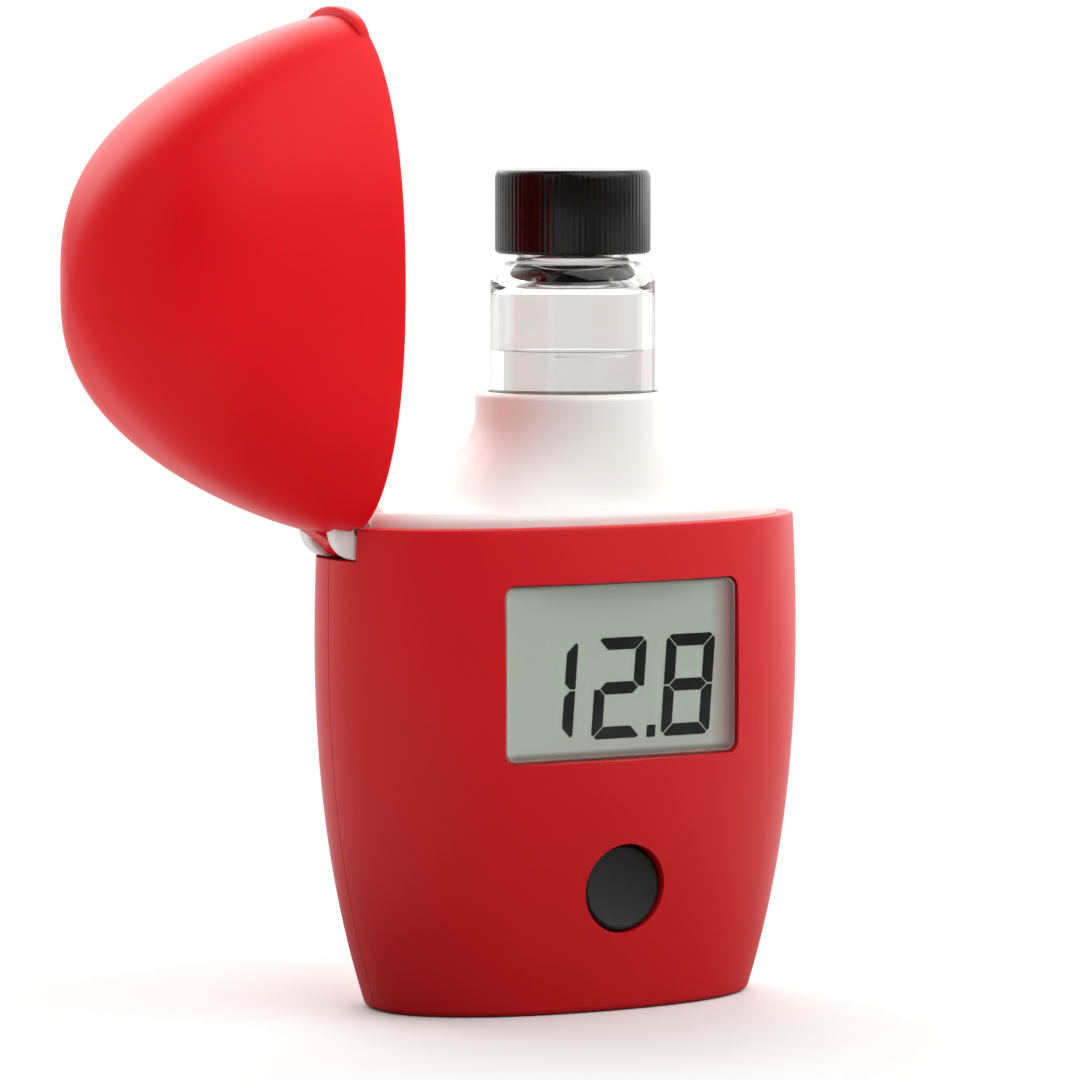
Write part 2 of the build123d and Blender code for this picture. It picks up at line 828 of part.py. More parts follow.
# Cap: a ribbed skirt with a bevelled top
rib_points = []
for step in range(2 * cap_ribs):
    angle = pi * step / cap_ribs
    radius = cap_radius if step % 2 == 0 else cap_radius - cap_rib_depth
    rib_points.append((radius * cos(angle), radius * sin(angle)))
cap_outline = make_face(Polyline(*rib_points, close=True))
cap_blank = extrude(cap_outline, cap_height)
cap_envelope = Cylinder(cap_radius, cap_height, align=(Align.CENTER, Align.CENTER, Align.MIN))
cap_envelope = chamfer(cap_envelope.edges().group_by(Axis.Z)[-1], cap_bevel)
cap_bore = Cylinder(
    neck_radius + cap_neck_clearance,
    cap_height - cap_top_thickness,
    align=(Align.CENTER, Align.CENTER, Align.MIN),
)
cuvette_cap = Pos(cuvette_offset, 0, cap_bottom) * ((cap_blank & cap_envelope) - cap_bore)
cap_liner = cylinder_z(neck_radius, cuvette_offset, liner_top - liner_thickness, liner_top)

# Battery, with its nub towards the latch end
cell_tip = contact_span / 2 - contact_gap
cell_end = cell_tip - cell_length
cell_shoulder = cell_tip - cell_nub_length
battery = cylinder_x(cell_radius, cell_end, cell_shoulder, cell_setback, cell_height)
battery = fillet(battery.edges().filter_by(GeomType.CIRCLE), cell_edge_radius)
battery += cylinder_x(cell_nub_radius, cell_shoulder, cell_tip, cell_setback, cell_height)

# Contacts: a flat plate, and a plate with a conical spring
contact_middle = contact_span / 2 + contact_thickness / 2
contact_blank = Box(contact_thickness, contact_width, contact_height)
battery_plate = Pos(contact_middle, cell_setback, cell_height) * contact_blank
coil_start = -contact_span / 2 + spring_wire_radius / 2
coil_end = cell_end - spring_wire_radius - contact_gap
coil_points = []
for step in range(spring_steps + 1):
    fraction = step / spring_steps
    radius = spring_outer_radius + (spring_inner_radius - spring_outer_radius) * fraction
    angle = 2 * pi * spring_turns * fraction
    coil_points.append(
        (
            coil_start + (coil_end - coil_start) * fraction,
            cell_setback + radius * cos(angle),
            cell_height + radius * sin(angle),
        )
    )
coil_path = Spline(*coil_points)
coil_section = Plane(origin=coil_path @ 0, z_dir=coil_path % 0) * Circle(spring_wire_radius)
battery_spring = sweep(coil_section, path=coil_path)
battery_spring += Pos(-contact_middle, cell_setback, cell_height) * contact_blank

nodes = {
    "front_shell": front_shell,
    "rear_shell": rear_shell,
    "shoulder": shoulder,
    "lid": lid,
    "hinge_pin": hinge_pin,
    "display_window": display_window,
    "lcd_panel": lcd_panel,
    "lcd_frame": lcd_frame,
    "circuit_board": circuit_board,
    "board_chips": Compound(children=board_chips),
    "button": button,
    "button_switch": button_switch,
    "lamp_led": lamp_led,
    "light_detector": light_detector,
    "battery": battery,
    "battery_spring": battery_spring,
    "battery_plate": battery_plate,
    "battery_door": battery_door,
    "battery_door_screw": battery_door_screw,
    "case_screws": Compound(children=case_screws),
    "cuvette_well": cuvette_well,
    "cuvette_glass": cuvette_glass,
    "cuvette_sample": cuvette_sample,
    "cuvette_cap": cuvette_cap,
    "cap_liner": cap_liner,
}
for name, shape in nodes.items():
    export_step(shape, f"parts/{name}.step")
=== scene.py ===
from math import cos, pi, radians, sin

import bmesh
import bpy
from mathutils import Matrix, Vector


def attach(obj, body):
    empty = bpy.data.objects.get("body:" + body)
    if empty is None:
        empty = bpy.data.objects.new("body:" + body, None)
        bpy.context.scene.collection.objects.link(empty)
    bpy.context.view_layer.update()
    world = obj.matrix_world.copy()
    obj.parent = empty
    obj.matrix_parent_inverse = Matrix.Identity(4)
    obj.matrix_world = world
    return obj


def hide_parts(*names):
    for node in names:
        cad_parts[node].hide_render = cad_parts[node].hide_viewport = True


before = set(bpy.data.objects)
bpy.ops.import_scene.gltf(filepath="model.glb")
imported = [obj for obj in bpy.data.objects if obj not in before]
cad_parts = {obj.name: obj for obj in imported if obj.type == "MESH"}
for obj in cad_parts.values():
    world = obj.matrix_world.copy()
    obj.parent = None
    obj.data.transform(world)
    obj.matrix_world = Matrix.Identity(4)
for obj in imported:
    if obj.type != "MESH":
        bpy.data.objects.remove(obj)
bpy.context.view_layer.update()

# Camera: a long lens a little to the left of the display, level with the shoulder.
# It looks almost straight on, so upright edges stay upright.
scene = bpy.context.scene
camera = bpy.data.objects.new("camera", bpy.data.cameras.new("camera"))
scene.collection.objects.link(camera)
camera.location = (-0.37336, -0.65436, 0.11098)
camera.rotation_euler = (radians(85.65), 0, radians(-29.55))
camera.data.sensor_width = 36
camera.data.lens = 215.75
scene.camera = camera
scene.view_settings.view_transform = "Standard"


# Lamps: a broad soft box above and in front gives the main light, two weak ones fill the
# sides, and one behind lays the pale edge along the top of the open lid.
def area_light(name, place, target, width, height, power):
    data = bpy.data.lights.new(name, "AREA")
    data.shape = "RECTANGLE"
    data.size = width
    data.size_y = height
    data.energy = power
    lamp = bpy.data.objects.new(name, data)
    lamp.location = place
    lamp.rotation_euler = (Vector(target) - Vector(place)).to_track_quat("-Z", "Y").to_euler()
    scene.collection.objects.link(lamp)


area_light("key_top", (0.25, -0.50, 0.75), (0, 0, 0.06), 1.3, 1.1, 8.4)
area_light("left_high", (-0.72, -0.22, 0.42), (0, 0, 0.08), 0.5, 0.6, 0.7)
area_light("side_right", (0.60, 0.10, 0.20), (0, 0, 0.05), 0.4, 0.6, 0.8)
area_light("back_high", (0.05, 0.55, 0.55), (-0.02, 0, 0.08), 0.9, 0.7, 4.0)


# Room: white where the camera looks at it, straight or through glass. The object itself is
# lit by a dim room with brighter walls on its right and behind it.
def add(tree, kind, **settings):
    node = tree.nodes.new("ShaderNode" + kind)
    for name, value in settings.items():
        key = name.replace("_", " ")
        if key in node.inputs.keys():
            if isinstance(value, bpy.types.NodeSocket):
                tree.links.new(value, node.inputs[key])
            else:
                node.inputs[key].default_value = value
        else:
            setattr(node, name, value)
    return node


world = bpy.data.worlds.new("studio")
scene.world = world
world.use_nodes = True
tree = world.node_tree
background = tree.nodes["Background"]
path = add(tree, "LightPath")
direct = add(tree, "Math", operation="MAXIMUM")
tree.links.new(path.outputs["Is Camera Ray"], direct.inputs[0])
tree.links.new(path.outputs["Is Transmission Ray"], direct.inputs[1])
direction = add(tree, "SeparateXYZ", Vector=add(tree, "TexCoord").outputs["Generated"])
room_level = 0.06
right_wall = ("X", -0.1, 0.9, 0.85)
back_wall = ("Y", 0.0, 0.8, 0.90)
left_wall = ("X", -0.2, -0.9, 0.08)
room = room_level
for axis, near, far, level in (right_wall, back_wall, left_wall):
    wall = add(tree, "MapRange", Value=direction.outputs[axis], interpolation_type="SMOOTHSTEP")
    wall.inputs["From Min"].default_value = near
    wall.inputs["From Max"].default_value = far
    wall.inputs["To Max"].default_value = level
    total = add(tree, "Math", operation="ADD")
    if room == room_level:
        total.inputs[0].default_value = room
    else:
        tree.links.new(room, total.inputs[0])
    tree.links.new(wall.outputs["Result"], total.inputs[1])
    room = total.outputs[0]
strength = add(tree, "MapRange", Value=direct.outputs[0])
tree.links.new(room, strength.inputs["To Min"])
strength.inputs["To Max"].default_value = 1.0
background.inputs["Color"].default_value = (1, 1, 1, 1)
tree.links.new(strength.outputs["Result"], background.inputs["Strength"])


# Floor: a sheet of white paper that keeps the object's shadow near it and fades to plain
# white further out. What the object receives from it is set apart from what the camera sees.
def material(name, **sockets):
    made = bpy.data.materials.new(name)
    made.use_nodes = True
    shader = made.node_tree.nodes["Principled BSDF"]
    for key, value in sockets.items():
        shader.inputs[key.replace("_", " ")].default_value = value
    return made, made.node_tree, shader


floor_mesh = bpy.data.meshes.new("floor")
reach = 3.0
floor_corners = [(-reach, -reach, 0), (reach, -reach, 0), (reach, reach, 0), (-reach, reach, 0)]
floor_mesh.from_pydata(floor_corners, [], [(0, 1, 2, 3)])
floor = bpy.data.objects.new("floor", floor_mesh)
scene.collection.objects.link(floor)
floor.location.z = -0.00002
# Matt paper: no highlight, only a soft shadow. A mirror image in the glass or the window
# counts as light on the object, so it isn't shown the white that the camera sees.
paper, tree, shader = material("white_paper_sweep", Roughness=0.8)
path = add(tree, "LightPath")
straight = add(tree, "Math", operation="LESS_THAN")
tree.links.new(path.outputs["Glossy Depth"], straight.inputs[0])
straight.inputs[1].default_value = 0.5
through = add(tree, "Math", operation="MULTIPLY")
tree.links.new(path.outputs["Is Transmission Ray"], through.inputs[0])
tree.links.new(straight.outputs[0], through.inputs[1])
seen = add(tree, "Math", operation="MAXIMUM")
tree.links.new(path.outputs["Is Camera Ray"], seen.inputs[0])
tree.links.new(through.outputs[0], seen.inputs[1])
paper_tone = add(tree, "ValToRGB", Fac=seen.outputs[0])
paper_tone.color_ramp.elements[0].color = (0.24, 0.24, 0.24, 1)
paper_tone.color_ramp.elements[1].color = (0.80, 0.795, 0.79, 1)
tree.links.new(paper_tone.outputs["Color"], shader.inputs["Base Color"])
place = add(tree, "TexCoord").outputs["Object"]
from_middle = add(tree, "VectorMath", operation="LENGTH")
tree.links.new(place, from_middle.inputs[0])
fade = add(tree, "MapRange", Value=from_middle.outputs["Value"], interpolation_type="SMOOTHSTEP")
fade.inputs["From Min"].default_value = 0.02
fade.inputs["From Max"].default_value = 0.13
along = add(tree, "SeparateXYZ", Vector=place)
sideways = add(tree, "Math", operation="ABSOLUTE")
tree.links.new(along.outputs["X"], sideways.inputs[0])
sides = add(tree, "MapRange", Value=sideways.outputs[0], interpolation_type="SMOOTHSTEP")
sides.inputs["From Min"].default_value = 0.035
sides.inputs["From Max"].default_value = 0.12
sides.inputs["To Max"].default_value = 1.8
beside = add(tree, "MapRange", Value=along.outputs["Y"], interpolation_type="SMOOTHSTEP")
beside.inputs["From Min"].default_value = -0.40
beside.inputs["From Max"].default_value = -0.15
lit = add(tree, "Math", operation="MULTIPLY")
tree.links.new(sides.outputs["Result"], lit.inputs[0])
tree.links.new(beside.outputs["Result"], lit.inputs[1])
behind = add(tree, "MapRange", Value=along.outputs["Y"], interpolation_type="SMOOTHSTEP")
behind.inputs["From Min"].default_value = 0.03
behind.inputs["From Max"].default_value = 0.12
glowing = add(tree, "Math", operation="MAXIMUM")
tree.links.new(lit.outputs[0], glowing.inputs[0])
tree.links.new(behind.outputs["Result"], glowing.inputs[1])
shown = add(tree, "MapRange", Value=seen.outputs[0])
tree.links.new(glowing.outputs[0], shown.inputs["To Min"])
tree.links.new(fade.outputs["Result"], shown.inputs["To Max"])
glow = add(tree, "Emission", Color=(1, 1, 1, 1))
sweep = add(tree, "MixShader")
tree.links.new(shown.outputs["Result"], sweep.inputs[0])
tree.links.new(shader.outputs["BSDF"], sweep.inputs[1])
tree.links.new(glow.outputs["Emission"], sweep.inputs[2])
tree.links.new(sweep.outputs["Shader"], tree.nodes["Material Output"].inputs["Surface"])
floor.data.materials.append(paper)

# Case, front half: red moulded plastic, 2.2 mm thick, screwed to the rear half. Its plan is a
# lens that swells between the base and the rim; the display opening, the button hole and the
# notch for the hinge are cut through it. All sizes below are millimetres in the shared frame.
MM = 0.001
LENS = 2.235
CASE_HEIGHT = 56.4
WALL = 2.2
BASE_EDGE = 0.7
RIM_EDGE = 0.25
WINDOW_Z = 39.7
BUTTON_Z = 14.5
BUTTON_HOLE = 5.23


def linear(code):
    channels = [int(code[i : i + 2], 16) / 255 for i in (1, 3, 5)]
    lights = [c / 12.92 if c <= 0.04045 else ((c + 0.055) / 1.055) ** 2.4 for c in channels]
    return tuple(lights) + (1.0,)


def lens_ring(latch, hinge, b, exponent, z, start=0.0, end=2 * pi, steps=192, centre=0.0, closed=True):
    ring = []
    for step in range(steps if closed else steps + 1):
        angle = start + (end - start) * step / steps
        c = cos(angle)
        s = sin(angle)
        x = (latch if c > 0 else -hinge) * abs(c) ** (2 / exponent)
        y = (b if s > 0 else -b) * abs(s) ** (2 / exponent)
        ring.append(Vector(((centre + x) * MM, y * MM, z * MM)))
    return ring


def skin(name, rings, closed=True, loop=False, cap_start=False, cap_end=False):
    mesh = bpy.data.meshes.new(name)
    points = [point for ring in rings for point in ring]
    count = len(rings[0])
    faces = []
    for row in range(len(rings) if loop else len(rings) - 1):
        below = row * count
        above = ((row + 1) % len(rings)) * count
        for k in range(count if closed else count - 1):
            following = (k + 1) % count
            faces.append((below + k, below + following, above + following, above + k))
    if cap_start:
        faces.append(tuple(reversed(range(count))))
    if cap_end:
        faces.append(tuple(range((len(rings) - 1) * count, len(rings) * count)))
    mesh.from_pydata(points, [], faces)
    piece = bpy.data.objects.new(name, mesh)
    scene.collection.objects.link(piece)
    return piece


def tidy(piece, sharp=32):
    work = bmesh.new()
    work.from_mesh(piece.data)
    bmesh.ops.remove_doubles(work, verts=work.verts, dist=1e-7)
    bmesh.ops.recalc_face_normals(work, faces=work.faces)
    for face in work.faces:
        face.smooth = True
    for edge in work.edges:
        edge.smooth = not edge.is_manifold or edge.calc_face_angle(0) < radians(sharp)
    work.to_mesh(piece.data)
    work.free()
    return piece


def cut(piece, *tools, sharp=32):
    for tool in tools:
        work = bmesh.new()
        work.from_mesh(tool.data)
        bmesh.ops.recalc_face_normals(work, faces=work.faces)
        work.to_mesh(tool.data)
        work.free()
        change = piece.modifiers.new("cut", "BOOLEAN")
        change.operation = "DIFFERENCE"
        change.solver = "EXACT"
        change.object = tool
    bpy.context.view_layer.update()
    evaluated = piece.evaluated_get(bpy.context.evaluated_depsgraph_get())
    result = bpy.data.meshes.new_from_object(evaluated)
    piece.modifiers.clear()
    piece.data = result
    for tool in tools:
        bpy.data.objects.remove(tool)
    return tidy(piece, sharp)


def prism_y(name, outline, y_start, y_end):
    rings = [[Vector((x * MM, y * MM, z * MM)) for x, z in outline] for y in (y_start, y_end)]
    return skin(name, rings, cap_start=True, cap_end=True)


def rounded(width, height, radius, z, steps=10):
    points = []
    for corner in range(4):
        cx = (width / 2 - radius) * (1 if corner in (0, 3) else -1)
        cz = (height / 2 - radius) * (1 if corner in (0, 1) else -1)
        for step in range(steps + 1):
            angle = (corner + step / steps) * pi / 2
            points.append((cx + radius * cos(angle), z + cz + radius * sin(angle)))
    return points


def disc(radius, x, z, steps=64):
    turns = [2 * pi * k / steps for k in range(steps)]
    return [(x + radius * cos(turn), z + radius * sin(turn)) for turn in turns]


def case_sizes(z, inset=0.0):
    u = z / CASE_HEIGHT
    bulge = 4 * u * (1 - u)
    a = 24.1 + 5.9 * u + 2.6 * bulge * (1 + 0.22 * (1 - 2 * u)) - inset
    return a, 13.5 + 2.7 * u + 2.1 * bulge - inset


def case_ring(side, z, inset):
    start, end = (pi, 2 * pi) if side < 0 else (0, pi)
    parting_gap = 0.05
    a, b = case_sizes(z, inset)
    made = lens_ring(a, a, b, LENS, z, start, end, 160, closed=False)
    for point in made:
        if abs(point.y) < parting_gap * MM:
            point.y = side * parting_gap * MM
    return made


def half_shell(name, side):
    heights = [CASE_HEIGHT * step / 64 for step in range(65)]
    rings = []
    for step in range(8):
        angle = pi / 2 * step / 7
        rings.append(case_ring(side, BASE_EDGE * (1 - cos(angle)), BASE_EDGE * (1 - sin(angle))))
    for z in heights:
        if BASE_EDGE < z < CASE_HEIGHT - RIM_EDGE:
            rings.append(case_ring(side, z, 0))
    for step in range(6):
        angle = pi / 2 * step / 5
        top = CASE_HEIGHT - RIM_EDGE * (1 - sin(angle))
        rings.append(case_ring(side, top, RIM_EDGE * (1 - cos(angle))))
    for z in reversed(heights):
        if z > WALL:
            rings.append(case_ring(side, z, WALL))
    rings.append(case_ring(side, WALL, WALL))
    piece = skin(name, rings, closed=False)
    work = bmesh.new()
    work.from_mesh(piece.data)
    rows = len(rings)
    count = len(rings[0])
    work.verts.ensure_lookup_table()
    for k in (0, count - 1):
        work.faces.new([work.verts[row * count + k] for row in range(rows)])
    work.faces.new([work.verts[k] for k in range(count)])
    work.faces.new([work.verts[(rows - 1) * count + k] for k in range(count)])
    work.to_mesh(piece.data)
    work.free()
    return piece


def notch_tool():
    floor_z, inner_x = 52.52, -21.45
    outline = [(-40, floor_z), (inner_x, floor_z), (inner_x, 70), (-40, 70)]
    return prism_y("notch_tool", outline, -4.85, 4.65)


# ABS from a satin mould: an even red with a broad, soft highlight. The mould's fine grain is
# drawn at about 0.4 mm, coarser than it is, so that it shows; the drift of tone spans 18 mm.
red, tree, shader = material("red_satin_abs", Base_Color=linear("#d6131b"), Roughness=0.34)
shader.inputs["IOR"].default_value = 1.53
shader.inputs["Specular IOR Level"].default_value = 0.25
shader.inputs["Subsurface Weight"].default_value = 0.06
shader.inputs["Subsurface Radius"].default_value = (1.0, 0.12, 0.1)
shader.inputs["Subsurface Scale"].default_value = 0.0012
place = add(tree, "TexCoord").outputs["Object"]
grain = add(tree, "TexNoise", Vector=place, Scale=2600.0, Detail=3.0)
drift = add(tree, "TexNoise", Vector=place, Scale=55.0, Detail=2.0)
tone = add(tree, "ValToRGB", Fac=drift.outputs["Fac"])
tone.color_ramp.elements[0].position = 0.35
tone.color_ramp.elements[0].color = linear("#d4121a")
tone.color_ramp.elements[1].position = 0.65
tone.color_ramp.elements[1].color = linear("#d9141c")
tree.links.new(tone.outputs["Color"], shader.inputs["Base Color"])
spread = add(tree, "MapRange", Value=grain.outputs["Fac"])
spread.inputs["To Min"].default_value = 0.33
spread.inputs["To Max"].default_value = 0.40
tree.links.new(spread.outputs["Result"], shader.inputs["Roughness"])
bump = add(tree, "Bump", Strength=0.10, Distance=0.00002, Height=grain.outputs["Fac"])
tree.links.new(bump.outputs["Normal"], shader.inputs["Normal"])

front = cut(
    half_shell("case_front", -1),
    prism_y("window_tool", rounded(31.0, 20.6, 1.4, WINDOW_Z), -40, -8),
    prism_y("button_tool", disc(BUTTON_HOLE, 0, BUTTON_Z, 96), -40, -8),
    notch_tool(),
)
front.data.materials.append(red)
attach(front, "case")
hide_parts("front_shell")


# Case, rear half: the same moulding, with an opening for the battery door and four
# counterbores for the case screws that pull it against the front half.
def door_outline():
    low, high, tab_top = 2.6, 15.2, 20.4
    half, tab = 23.1, 4.5
    corners = [(-half, low), (half, low), (half, high), (tab, high)]
    corners += [(tab, tab_top), (-tab, tab_top), (-tab, high), (-half, high)]
    radii = [1.5, 1.5, 1.5, 0, 1.5, 1.5, 0, 1.5]
    points = []
    for index, (x, z) in enumerate(corners):
        radius = radii[index]
        before = Vector(corners[index - 1]) - Vector((x, z))
        after = Vector(corners[(index + 1) % 8]) - Vector((x, z))
        if radius == 0:
            points.append((x, z))
            continue
        for step in range(9):
            t = step / 8
            first = Vector((x, z)) + before.normalized() * radius * (1 - t) ** 2
            points.append(tuple(first + after.normalized() * radius * t**2))
    return points


screw_seat = 2.05
rear_cuts = [prism_y("door_tool", door_outline(), 6, 40), notch_tool()]
for x in (-20.5, 20.5):
    for z in (21.0, 46.0):
        rear_cuts.append(prism_y("screw_tool", disc(screw_seat, x, z, 72), 8, 40))
rear = cut(half_shell("case_rear", 1), *rear_cuts)
rear.data.materials.append(red)
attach(rear, "case")
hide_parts("rear_shell")

# Shoulder: one white moulding held between the halves of the case, round at the collar and
# lens-shaped at its foot, with a soft flare between them and two lugs for the hinge.
WELL_X = 2.0
COLLAR = 11.35
PIN_X, PIN_Z, PIN_HOLE = -28.2, 56.2, 0.95
# ABS from a satin mould, filled white: nearly even, with a faint grain of about 0.4 mm, drawn
# coarser than it is, and edges that light softens because it enters the plastic a little.
white, tree, shader = material("white_satin_abs", Base_Color=linear("#f5f4f0"), Roughness=0.38)
shader.inputs["IOR"].default_value = 1.53
shader.inputs["Subsurface Weight"].default_value = 0.12
shader.inputs["Subsurface Radius"].default_value = (1.0, 0.9, 0.8)
shader.inputs["Subsurface Scale"].default_value = 0.0015
place = add(tree, "TexCoord").outputs["Object"]
grain = add(tree, "TexNoise", Vector=place, Scale=2400.0, Detail=3.0)
drift = add(tree, "TexNoise", Vector=place, Scale=60.0, Detail=2.0)
tone = add(tree, "ValToRGB", Fac=drift.outputs["Fac"])
tone.color_ramp.elements[0].color = linear("#f2f1ed")
tone.color_ramp.elements[1].color = linear("#f8f7f4")
tree.links.new(tone.outputs["Color"], shader.inputs["Base Color"])
bump = add(tree, "Bump", Strength=0.08, Distance=0.00002, Height=grain.outputs["Fac"])
tree.links.new(bump.outputs["Normal"], shader.inputs["Normal"])

foot_a, foot_b = case_sizes(CASE_HEIGHT, 2.0)
rings = [lens_ring(foot_a, foot_a, foot_b, LENS, 53.4)]
for step in range(11):
    angle = radians(78) * step / 10
    shrink = 1.2 * (1 - cos(angle))
    z = 57.0 + 1.2 * sin(angle)
    rings.append(lens_ring(foot_a - shrink, foot_a - shrink, foot_b - shrink, LENS, z))
for step in range(1, 40):
    angle = radians(86) * (1 - step / 39)
    open_part = 1 - cos(angle) ** (2 / 1.8)
    z = 68.6 - 10.4 * sin(angle) ** (2 / 1.8)
    a = COLLAR + (foot_a - 1.2 - COLLAR) * open_part
    b = COLLAR + (foot_b - 1.2 - COLLAR) * open_part
    rings.append(lens_ring(a, a, b, 2 + 0.235 * open_part, z, centre=WELL_X * (1 - open_part)))
for step in range(9):
    angle = pi / 2 * step / 8
    r = COLLAR - 0.8 * (1 - cos(angle))
    rings.append(lens_ring(r, r, r, 2, 70.3 + 0.8 * sin(angle), centre=WELL_X))
mouth = ((10.15, 71.1), (9.98, 71.05), (9.9, 70.9), (9.9, 66.0), (9.9, 61.7), (11.1, 61.7), (11.1, 53.4))
for r, z in mouth:
    rings.append(lens_ring(r, r, r, 2, z, centre=WELL_X))


def arc(x, z, radius, start, end, steps=10):
    angles = [radians(start + (end - start) * k / steps) for k in range(steps + 1)]
    return [(x + radius * cos(angle), z + radius * sin(angle)) for angle in angles]


def soften(piece, width):
    edges = piece.modifiers.new("soft_edges", "BEVEL")
    edges.width = width * MM
    edges.segments = 3
    edges.limit_method = "ANGLE"


ear_room = arc(PIN_X, PIN_Z, 3.65, -90, 0, 24) + [(-24.55, 75), (-50, 75), (-50, 52.55)]
shoulder = tidy(skin("shoulder_skin", rings, loop=True), 40)
shoulder = cut(shoulder, prism_y("ear_tool", ear_room, -2.35, 2.35))
lugs = []
for side in (-1, 1):
    near, away = sorted((side * 2.35, side * 4.45))
    outline = arc(PIN_X, PIN_Z, 3.6, 30, 270, 40) + [(-21.5, 52.6), (-21.5, 57.9)]
    lug = prism_y("hinge_lug_" + ("front" if side < 0 else "rear"), outline, near, away)
    lug = cut(lug, prism_y("pin_tool", disc(PIN_HOLE, PIN_X, PIN_Z, 40), -9, 9))
    soften(lug, 0.3)
    lugs.append(lug)
for piece in [shoulder] + lugs:
    piece.data.materials.append(white)
    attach(piece, "case")
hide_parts("shoulder")


# Hinge pin: a cut length of drawn steel wire with ground ends, pressed through the lugs. It
# keeps the shape that came from the solid.
def dress(node, made):
    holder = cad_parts[node].data
    holder.materials.clear()
    holder.materials.append(made)


# Drawn steel: a grey metal with fine lines along the wire, about 0.1 mm apart.
steel, tree, shader = material(
    "drawn_steel_wire", Base_Color=linear("#b9b8b4"), Metallic=1.0, Roughness=0.3
)
place = add(tree, "TexCoord").outputs["Object"]
draw_lines = add(tree, "Mapping", Vector=place, Scale=(9000.0, 300.0, 9000.0))
lines = add(tree, "TexNoise", Vector=draw_lines.outputs["Vector"], Scale=1.0, Detail=2.0)
bump = add(tree, "Bump", Strength=0.2, Distance=0.00001, Height=lines.outputs["Fac"])
tree.links.new(bump.outputs["Normal"], shader.inputs["Normal"])
dress("hinge_pin", steel)

# Lid: a deep dome moulded in the same red plastic, 1.25 mm thick, which stands open by a
# quarter turn about the hinge pin. A crescent lip for the thumb runs along its free edge, and
# an ear between the lugs takes the pin.
PIVOT = Vector((PIN_X * MM, 0, PIN_Z * MM))
LID_WALL = 1.25
LID_RIM_Z = 56.6
LID_REACH = 30.5
LID_HALF_WIDTH = 16.0


def swing(points):
    turned = []
    for point in points:
        x, z = point.x - PIVOT.x, point.z - PIVOT.z
        turned.append(Vector((PIVOT.x - z, point.y, PIVOT.z + x)))
    return turned


def swung_prism(name, outline, y_start, y_end):
    made = prism_y(name, outline, y_start, y_end)
    for vertex in made.data.vertices:
        vertex.co = swing([vertex.co])[0]
    return made


def lid_ring(w, inset):
    depth = 34.3 - inset
    latch = (LID_REACH - inset) * max(0.0, 1 - w**1.4) ** (1 / 2.13)
    hinge = (29.3 - inset) * max(0.0, 1 - w**1.375) ** (1 / 2.05)
    b = (LID_HALF_WIDTH - inset) * max(0.0, 1 - w**4.4) ** (1 / 1.55)
    return swing(lens_ring(latch, hinge, b, LENS + 0.75 * w, LID_RIM_Z + depth * w, steps=240))


levels = [1 - (1 - k / 90) ** 2.6 for k in range(90)] + [0.99999]
rings = [lid_ring(w, LID_WALL) for w in reversed(levels)]
for step in range(1, 6):
    angle = pi * step / 6
    lift = 0.18 * (1 - sin(angle))
    flat = lid_ring(0, 0.625 + 0.625 * cos(angle))
    rings.append([Vector((p.x - lift * MM, p.y, p.z)) for p in flat])
rings += [lid_ring(w, 0.0) for w in levels[1:]]
lid = cut(
    tidy(skin("lid_dome", rings, cap_start=True, cap_end=True), 40),
    swung_prism("lug_tool", disc(3.75, PIN_X, PIN_Z), -4.65, 4.65),
    swung_prism("heel_tool", [(-60, 50), (-27.85, 50), (-27.85, 57.8), (-60, 57.8)], -16, 16),
    sharp=40,
)

LIP_HALF = 7.6
LIP_STEPS = 48


def rim_reach(y):
    return LID_REACH * (1 - (abs(y) / LID_HALF_WIDTH) ** LENS) ** (1 / LENS)


lip_outline = []
for step in range(LIP_STEPS + 1):
    y = -LIP_HALF + 2 * LIP_HALF * step / LIP_STEPS
    blunt = (1 - (abs(y) / LIP_HALF) ** 6) ** 0.5
    lip_outline.append((rim_reach(y) - 0.2 + 1.0 * blunt, y))
for step in range(LIP_STEPS + 1):
    y = LIP_HALF - 2 * LIP_HALF * step / LIP_STEPS
    lip_outline.append((rim_reach(y) - 0.7, y * 0.99))
rings = []
lip_edges = ((56.6, 0.22), (56.68, 0.08), (56.85, 0.0), (57.75, 0.0), (57.92, 0.08), (58.0, 0.22))
for z, inset in lip_edges:
    ring = []
    for index, (x, y) in enumerate(lip_outline):
        shrink = inset if index <= LIP_STEPS else 0.0
        ring.append(Vector(((x - shrink) * MM, y * (1 - inset / 10) * MM, z * MM)))
    rings.append(swing(ring))
lip = tidy(skin("lid_thumb_lip", rings, cap_start=True, cap_end=True))

ear_outline = arc(PIN_X, PIN_Z, 3.3, -200, 20, 48)
ear_outline += [(-26.6, 60.5), (-27.4, 62.2), (-28.3, 61.2), (-29.4, 59.4)]
ear = swung_prism("lid_ear", ear_outline, -2.05, 2.05)
ear = cut(ear, prism_y("pin_tool", disc(PIN_HOLE, PIN_X, PIN_Z, 40), -9, 9))
soften(ear, 0.25)

# The same ABS in a thin wall: light comes through it, so it looks deeper in colour than the case,
# and it mirrors less. Its red is also set brighter than the case's: painted light, standing for
# the stronger light that falls on the open lid.
thin_wall_red_painted_brighter = red.copy()
thin_wall_red_painted_brighter.name = "red_abs_thin_wall_painted_brighter"
tree = thin_wall_red_painted_brighter.node_tree
shader = tree.nodes["Principled BSDF"]
shader.inputs["Specular IOR Level"].default_value = 0.12
shader.inputs["Subsurface Weight"].default_value = 0.6
shader.inputs["Subsurface Scale"].default_value = 0.002
tone = next(node for node in tree.nodes if node.type == "VALTORGB")
# Painted light: these tones are brighter than the case's red, for the stronger light on the lid.
tone.color_ramp.elements[0].color = linear("#e4131d")
tone.color_ramp.elements[1].color = linear("#ea1520")
for piece in (lid, lip, ear):
    piece.data.materials.append(thin_wall_red_painted_brighter)
    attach(piece, "lid")
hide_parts("lid")

